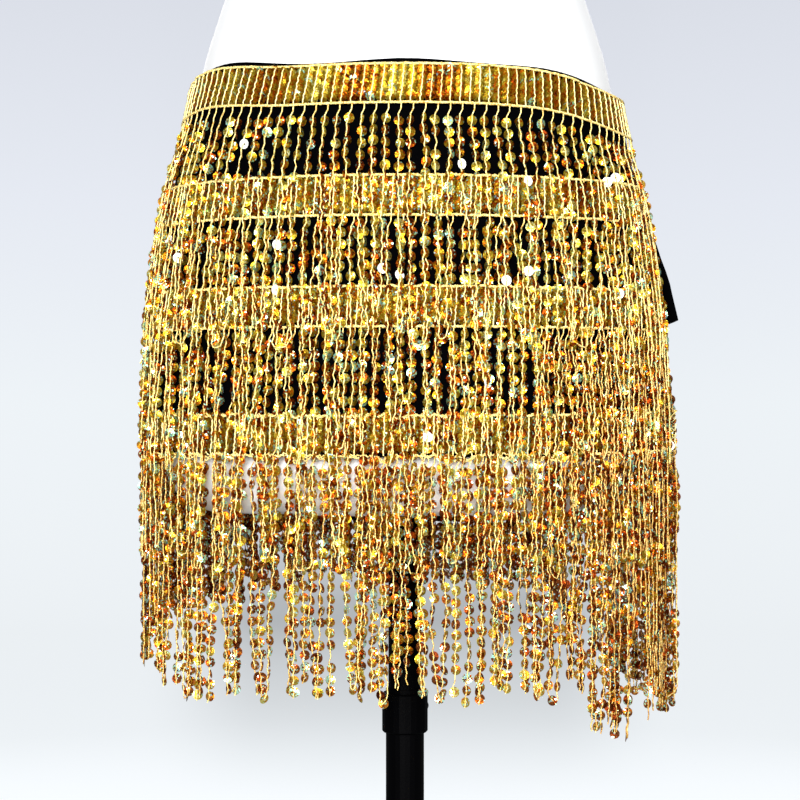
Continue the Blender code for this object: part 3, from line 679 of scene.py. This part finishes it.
for number, slant in enumerate(COLUMN_SLANTS, 1):
    chance = random.Random(BAND_SEED + number)
    turns, lows, highs = band_edges(number)
    middle = (lows[len(lows) // 2] + highs[len(highs) // 2]) / 2
    lines = []
    for column, turn in enumerate(spaced_turns(turns, middle, COLUMN_PITCH)):
        low = np.interp(turn, turns, lows) + TILE_INSET
        high = np.interp(turn, turns, highs) - TILE_INSET
        tiles = round((high - low) / TILE_PITCH)
        # Painted reflection: slow patches and tile-to-tile spots of darker or paler gold.
        depth, waves = WIDE_PATCHES
        painted_sheen = PATCH_SHADE + depth * noise.noise(Vector((turn * waves, number * 7.0, 0.0)))
        depth, waves = NARROW_PATCHES
        painted_sheen += depth * noise.noise(Vector((turn * waves, number * 7.0, 3.0)))
        phase = chance.uniform(0.0, COLUMN_START)
        across = slant * (high - low) * 0.5
        ends = [(turn - across / TURN_RADIUS, high + TILE_INSET),
                (turn + across / TURN_RADIUS, low - TILE_INSET)]
        ends = [(min(max(t, turns[0]), turns[-1]), height) for t, height in ends]
        ends = [(on_hip(t, height, BAND_OFF), hip_normal(t, height), 0.0, 0.0) for t, height in ends]
        line = [ends[0]]
        for tile in range(tiles + 1):
            share = min(1.0, (tile + phase) / tiles)
            height = high + (low - high) * share
            side = slant * (high - low) * (share - 0.5) + TILE_SHIFT * (-1) ** tile
            side += chance.uniform(-TILE_SHIFT, TILE_SHIFT)
            here = min(max(turn + side / TURN_RADIUS, turns[0]), turns[-1])
            out = hip_normal(here, height)
            face = out * math.cos(TILE_LEAN) - Vector((0, 0, 1)) * math.sin(TILE_LEAN)
            off = BAND_OFF + chance.uniform(*TILE_PROUD)
            depth, waves, rows = TILE_PATCHES
            shade = painted_sheen + depth * noise.noise(Vector((turn * waves, height * rows, 5.0)))
            line.append((on_hip(here, height, off), face, 1.0, min(shade, DEEPEST_SHINE)))
        lines.append([*line, ends[1]])
    columns = strung_piece(f"band_{number}_sequins", lines, **{
        "Seed": number * 11, "Yaw Spread": 0.14, "Tilt Spread": 0.12, "Thread Radius": 0.00046,
        "Sink": BAND_SINK, "Tint Spread": 0.30, "Glitter": BAND_GLITTER[number - 1]})
    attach(columns, "form")
    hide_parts(f"band_{number}")

    lines = []
    steps = STITCH_STEPS * len(spaced_turns(turns, middle, CHAIN_STITCH))
    uneven = CHAIN_UNEVEN[number - 1]
    for heights in (lows, highs):
        for strand in range(CHAIN_STRANDS):
            phase = math.tau * strand / CHAIN_STRANDS
            line = []
            for step in range(steps):
                turn = turns[0] + (turns[-1] - turns[0]) * step / (steps - 1)
                wave = math.tau * step / STITCH_STEPS + phase
                height = np.interp(turn, turns, heights) + CHAIN_SWING * math.sin(wave)
                height += uneven * noise.noise(Vector((turn * UNEVEN_WAVES, strand * 0.4, number)))
                if number == 4 and heights is lows:
                    droop = noise.noise(Vector((turn * DROOP_WAVES, strand * 0.3, 21.0)))
                    height -= CHAIN_DROOP * max(0.0, droop)
                off = CHAIN_OFF + CHAIN_SWING * math.cos(wave)
                line.append((on_hip(turn, height, off), Vector((0, 0, 1)), 0.0, 0.0))
            lines.append(line)
    chain = strung_piece(f"band_{number}_chain", lines, **{
        "Thread Radius": CHAIN_RADIUS, "Thread Sides": 3, "Seed": number})
    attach(chain, "form")

# The fringe is sequin string: it leaves the band's lower chain as bare slanting thread, carries a
# sequin every 7 mm, and hangs in loose groups whose feet draw together. Some feet are looped to
# their neighbour's and some are bare thread. It is thicker at the back and at the left hip, and
# there the strands of the two lower tiers carry painted shade: their sequins and thread are made
# darker. Each tier down is a little darker and redder.
STRAND_PITCH = 0.0074
SEQUIN_PITCH = 0.0071
PITCH_RANGE = (0.92, 1.06)
MISSING_SEQUINS = 0.03
BARE_START = 0.0098
BARE_UNEVEN = 0.0012
BARE_STEPS = (0.0, 0.0035, 0.0070)
FRINGE_DROP = 0.147
ROOT_SLANT = 0.0027
ROOT_SINK = 0.0004
LEAST_STAND = 0.0012
UPPER_STANDS = ((0.0, 0.0034), (0.010, 0.0024), (0.044, 0.0044), (0.070, 0.0050), (0.160, 0.0060))
LAST_STANDS = ((0.0, 0.0034), (0.010, 0.0024), (0.060, 0.0030), (0.200, 0.0034))
CLOSE_SIDE = ((14.0, 1.0), (40.0, 0.0))
SIDE_STANDS = (1.1, 1.1, 0.8, 0.6)
STRING_RADII = (0.00050, 0.00048, 0.00044, 0.00042)
TIER_SHADES = (0.00, -0.06, -0.14, -0.24)
SHADE_RANGE = (-0.18, 0.12)
LAST_TIER_LONGER = (
    (-10.0, 0.022), (14.5, 0.020), (16.0, -0.034), (22.0, -0.034), (23.5, 0.028), (35.0, 0.030),
    (36.5, 0.001), (105.0, 0.0), (137.0, 0.006), (160.0, 0.002), (170.0, -0.012), (179.0, -0.014),
    (195.0, -0.030), (213.5, -0.048), (313.0, -0.048), (337.0, 0.020),
)
BACK_FROM = math.radians(192.0)
BACK_TO = math.radians(318.0)
BACK_PAINTED_SHADE = -0.50
BACK_FILL = (0, 0, 1, 2)
SIDE_FROM = math.radians(330.0)
SIDE_TO = math.radians(48.0)
SIDE_PAINTED_SHADE = -0.20
SIDE_FILL = (0, 0, 1, 1)
FRONT_FILL = 0.30
FACE_FRONT = 0.9
LOOSE_FROM = 0.03
SLOW_SWAY = (0.0024, 24.0)
QUICK_SWAY = (0.0014, 110.0)
PROUD_SWAY = (0.0006, 40.0)
KINK = 0.00040
GATHER_POWER = 2.2
GROUP_SIZES = (1, 2, 2, 3, 3, 4)
GROUP_SHIFT = 0.02
GROUP_PULL = (0.25, 0.85)
GROUP_LONGER = (-0.045, 0.02)
STRAND_LONGER = (-0.03, 0.02)
STRAND_LEAN = 0.0022
STRAND_PROUD = (-0.0006, 0.0018)
WILD_SHARE = 0.08
WILD_LEAN = 3.0
BARE_TIP_SHARE = 0.22
BARE_TIP = (0.006, 0.014)
LOOPED_SHARE = 0.6
LEAST_LOOP = 0.0035
LOOP_DROP = 0.0036
LOOP_SIDES = 0.3


def strand_facing(turn, height):
    """Loose sequins swing round, so that more of them face the front or the back."""
    out = hip_normal(turn, height)
    return (out + Vector((0.0, math.copysign(FACE_FRONT, out.y), 0.0))).normalized()


def strand_line(chance, strand, stands):
    """Points down one strand, with a sequin at every pitch below its bare start."""
    radius = hip_outline(strand["turn"], strand["height"])
    side = float(np.interp(math.degrees(strand["turn"]), *zip(*CLOSE_SIDE)))
    close = 1.0 + (strand["side_stand"] - 1.0) * side
    drops = [(drop, 0.0) for drop in BARE_STEPS]
    drop = BARE_START + chance.uniform(-BARE_UNEVEN, BARE_UNEVEN)
    while drop < strand["length"] - strand["bare_tip"]:
        drops.append((drop, 1.0 if chance.random() > MISSING_SEQUINS else 0.0))
        step = SEQUIN_PITCH * chance.uniform(*PITCH_RANGE)
        drops.append((drop + step / 2, 0.0))
        drop += step
    while drop < strand["length"]:
        drops.append((drop, 0.0))
        drop += SEQUIN_PITCH / 2
    line = []
    for index, (drop, has_sequin) in enumerate(drops):
        share = min(1.0, drop / strand["length"])
        slide = ROOT_SLANT * min(1.0, drop / BARE_START) + strand["lean"] * share
        slide += strand["gather"] * share**GATHER_POWER
        loose = min(1.0, drop / LOOSE_FROM)
        sway, waves = SLOW_SWAY
        slide += sway * loose * noise.noise(Vector((strand["wobble"], drop * waves, 0.0)))
        sway, waves = QUICK_SWAY
        slide += sway * loose * noise.noise(Vector((strand["wobble"], drop * waves, 5.0)))
        slide += KINK * (-1) ** index
        off = float(np.interp(drop, *zip(*stands)))
        off = off * (1.0 + (close - 1.0) * loose) + strand["proud"] * loose
        sway, waves = PROUD_SWAY
        off += sway * loose * noise.noise(Vector((strand["wobble"], drop * waves, 9.0)))
        here = strand["turn"] + slide / radius
        height = strand["height"] - drop
        line.append((on_hip(here, height, max(off, LEAST_STAND)), strand_facing(here, height),
                     has_sequin, strand["shade"]))
    return line


for number in range(1, 5):
    chance = random.Random(number)
    stands = LAST_STANDS if number == 4 else UPPER_STANDS
    turns, lows, highs = band_edges(number)
    roots = spaced_turns(turns, lows[len(lows) // 2], STRAND_PITCH)
    between = []
    for here, there in zip(roots, roots[1:]):
        more = BACK_FILL[number - 1] if BACK_FROM < here < BACK_TO else 0
        more = SIDE_FILL[number - 1] if here < SIDE_TO or here > SIDE_FROM else more
        if number == 4 and SIDE_TO < here < BACK_FROM and chance.random() < FRONT_FILL:
            more = 1
        between += [here + (there - here) * (i + 1) / (more + 1) for i in range(more)]
    roots = sorted([*roots, *between])
    lines = []
    index = 0
    while index < len(roots):
        group = roots[index:index + chance.choice(GROUP_SIZES)]
        index += len(group)
        centre = float(np.mean(group)) + chance.uniform(-GROUP_SHIFT, GROUP_SHIFT)
        pull = chance.uniform(*GROUP_PULL)
        # Painted shade: the lower tiers' strands at the back and at the left hip are made darker.
        painted_shade = BACK_PAINTED_SHADE if number > 2 and BACK_FROM < centre < BACK_TO else 0.0
        if number > 2 and (centre < SIDE_TO or centre > SIDE_FROM):
            painted_shade = SIDE_PAINTED_SHADE
        depth = FRINGE_DROP * (1.0 + chance.uniform(*GROUP_LONGER))
        if number == 4:
            depth += float(np.interp(math.degrees(centre), *zip(*LAST_TIER_LONGER)))
        strands = []
        for turn in group:
            height = float(np.interp(turn, turns, lows))
            wild = WILD_LEAN if chance.random() < WILD_SHARE else 1.0
            strands.append({
                "turn": float(turn), "height": height - ROOT_SINK,
                "length": depth * (1.0 + chance.uniform(*STRAND_LONGER)),
                "lean": wild * chance.uniform(-STRAND_LEAN, STRAND_LEAN),
                "gather": (centre - turn) * hip_outline(turn, height) * pull,
                "wobble": chance.uniform(0.0, 50.0), "proud": chance.uniform(*STRAND_PROUD),
                "shade": TIER_SHADES[number - 1] + painted_shade + chance.uniform(*SHADE_RANGE),
                "side_stand": SIDE_STANDS[number - 1],
                "bare_tip": chance.uniform(*BARE_TIP) if chance.random() < BARE_TIP_SHARE else 0.0,
            })
        made = [strand_line(chance, strand, stands) for strand in strands]
        while made:
            line = made.pop(0)
            if made and chance.random() < LOOPED_SHARE:
                other = made.pop(0)
                ends = line[-1][0], other[-1][0]
                if (ends[0] - ends[1]).length < LEAST_LOOP:
                    lines += [line, other]
                    continue
                face, shade = line[-1][1], line[-1][3]
                foot = (ends[0] + ends[1]) / 2 - Vector((0, 0, LOOP_DROP))
                sides = [end.lerp(foot, LOOP_SIDES) - Vector((0, 0, LOOP_DROP / 2)) for end in ends]
                loop = [(sides[0], face, 0.0, shade), (foot, face, 1.0, shade),
                        (sides[1], face, 0.0, shade)]
                line = line + loop + other[::-1]
            lines.append(line)
    fringe = strung_piece(f"fringe_{number}_strings", lines, **{
        "Seed": number * 17, "Thread Radius": STRING_RADII[number - 1]})
    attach(fringe, "form")
    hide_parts(f"fringe_{number}")

# The ties run on from the wrap's top corners in the same knit, gathered into the knot behind the
# left hip, and their two loose tails hang from it. Long soft creases run down them.
CREASE_DEPTH = 0.0009
CREASES_ACROSS = 160.0
CREASES_DOWN = 30.0
TAIL_LEAN = 0.0040
for tie in ("tie_front", "tie_back", "tie_knot", "tie_tail_front", "tie_tail_back"):
    data = soft_copy(tie, 2, "SIMPLE" if "tail" in tie else "CATMULL_CLARK")
    for vertex in data.vertices:
        spot = vertex.co
        crease = noise.noise(Vector((
            spot.x * CREASES_ACROSS, spot.y * CREASES_ACROSS, spot.z * CREASES_DOWN)))
        vertex.co = spot + vertex.normal * CREASE_DEPTH * crease
        if tie == "tie_tail_front":
            low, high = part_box(tie)
            vertex.co.x -= TAIL_LEAN * (high.z - spot.z) / (high.z - low.z)
    piece = mesh_piece(tie + "_knit", data, black_knit)
    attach(piece, "form")
    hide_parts(tie)

# Studio: a round pale cyclorama, lit from within so that it fades from pale grey at the top to
# near white at the floor. One soft grey painted shadow fans out over its floor and cove behind the
# scarf, as if from a lamp 1.3 m in front. A soft key light stands above the camera, with others round.
COVE_START = 5.0
COVE_RADIUS = 1.0
COVE_STEPS = 12
WALL_AT = COVE_START + COVE_RADIUS
WALL_TOP = 4.4
CYCLORAMA_SIDES = 96
FLOOR_COLOUR = (0.20, 0.205, 0.21, 1.0)
GLOW_TOP = 2.2
GLOW_SHADES = (
    (0.0, (0.78, 0.815, 0.84)), (0.33, (0.78, 0.82, 0.85)), (0.67, (0.715, 0.745, 0.81)),
    (1.0, (0.64, 0.665, 0.73)),
)
SHADOW_SOURCE = 1.3
SHADOW_MIDDLE = 0.003
SHADOW_HALF = (0.070, 0.138)
SHADOW_FADE = ((2.3, 1.0), (2.9, 0.90), (3.46, 0.80), (4.2, 0.70), (4.65, 0.62), (5.1, 0.54),
               (5.3, 0.55), (5.5, 0.63), (5.7, 0.76), (5.85, 0.88), (5.97, 1.0))
backdrop, shader = shader_material("backdrop", Roughness=1.0)
shader.inputs["Specular IOR Level"].default_value = 0.0
shader.inputs["Emission Strength"].default_value = 1.0
tree = backdrop.node_tree
place = add_node(tree, "ShaderNodeTexCoord")
parts = add_node(tree, "ShaderNodeSeparateXYZ")
tree.links.new(place.outputs["Object"], parts.inputs["Vector"])
height = add_node(tree, "ShaderNodeMapRange", From_Max=GLOW_TOP)
tree.links.new(parts.outputs["Z"], height.inputs["Value"])
glow = ramp(tree, GLOW_SHADES)
tree.links.new(height.outputs["Result"], glow.inputs["Fac"])
# Painted shadow: the floor and cove are darkened in a fan behind the scarf, soft at its sides and
# fading with distance.
away = math_node(tree, "ADD", parts.outputs["Y"], SHADOW_SOURCE)
aside = math_node(tree, "DIVIDE", parts.outputs["X"], away)
aside = math_node(tree, "ABSOLUTE", math_node(tree, "SUBTRACT", aside, SHADOW_MIDDLE))
painted_shadow_inside = add_node(tree, "ShaderNodeMapRange", From_Min=SHADOW_HALF[1], From_Max=SHADOW_HALF[0])
painted_shadow_inside.interpolation_type = "SMOOTHSTEP"
tree.links.new(aside, painted_shadow_inside.inputs["Value"])
painted_shadow_fade = ramp(tree, [(y / WALL_AT, (left, left, left)) for y, left in SHADOW_FADE])
tree.links.new(math_node(tree, "DIVIDE", parts.outputs["Y"], WALL_AT), painted_shadow_fade.inputs["Fac"])
for colour, socket in ((glow.outputs["Color"], "Emission Color"), (FLOOR_COLOUR, "Base Color")):
    shaded = mixed(tree, "MULTIPLY", painted_shadow_inside.outputs["Result"], colour, painted_shadow_fade.outputs["Color"])
    tree.links.new(shaded, shader.inputs[socket])
profile = [(0.0, 0.0), (COVE_START, 0.0)]
for step in range(1, COVE_STEPS + 1):
    angle = math.radians(90.0) * step / COVE_STEPS
    profile.append((COVE_START + COVE_RADIUS * math.sin(angle), COVE_RADIUS * (1 - math.cos(angle))))
profile.append((WALL_AT, WALL_TOP))
bm = bmesh.new()
edge = [bm.verts.new((r, 0.0, z)) for r, z in profile]
line = [bm.edges.new(pair) for pair in zip(edge, edge[1:])]
bmesh.ops.spin(bm, geom=edge + line, cent=(0, 0, 0), axis=(0, 0, 1), angle=math.tau,
               steps=CYCLORAMA_SIDES, use_duplicate=False)
bmesh.ops.remove_doubles(bm, verts=bm.verts, dist=1e-5)
cyclorama = from_bmesh("cyclorama", bm, backdrop)
cyclorama.visible_diffuse = False
cyclorama.visible_glossy = False


LIGHTS_AIM = Vector((0.0, 0.0, 0.75))


def softbox(name, place, width, height, power):
    """A soft rectangular studio light that faces the hips."""
    data = bpy.data.lights.new(name, "AREA")
    data.shape = "RECTANGLE"
    data.size = width
    data.size_y = height
    data.energy = power
    made = bpy.data.objects.new(name, data)
    made.location = place
    made.visible_camera = False
    made.rotation_euler = (LIGHTS_AIM - Vector(place)).to_track_quat("-Z", "Y").to_euler()
    collection.objects.link(made)


softbox("key", (-0.15, -2.3, 1.15), width=0.8, height=0.8, power=112.0)
softbox("fill", (1.8, -1.6, 1.1), width=0.9, height=1.3, power=7.0)
softbox("back left", (-1.0, 2.4, 1.5), width=0.9, height=1.4, power=18.0)
softbox("back right", (1.0, 2.4, 1.5), width=0.9, height=1.4, power=18.0)
WORLD_COLOUR = (0.86, 0.90, 0.96, 1.0)
WORLD_STRENGTH = 0.25
world = bpy.data.worlds.new("studio")
world.use_nodes = True
world.node_tree.nodes["Background"].inputs["Color"].default_value = WORLD_COLOUR
world.node_tree.nodes["Background"].inputs["Strength"].default_value = WORLD_STRENGTH
bpy.context.scene.world = world
bpy.context.scene.view_settings.view_transform = "Standard"
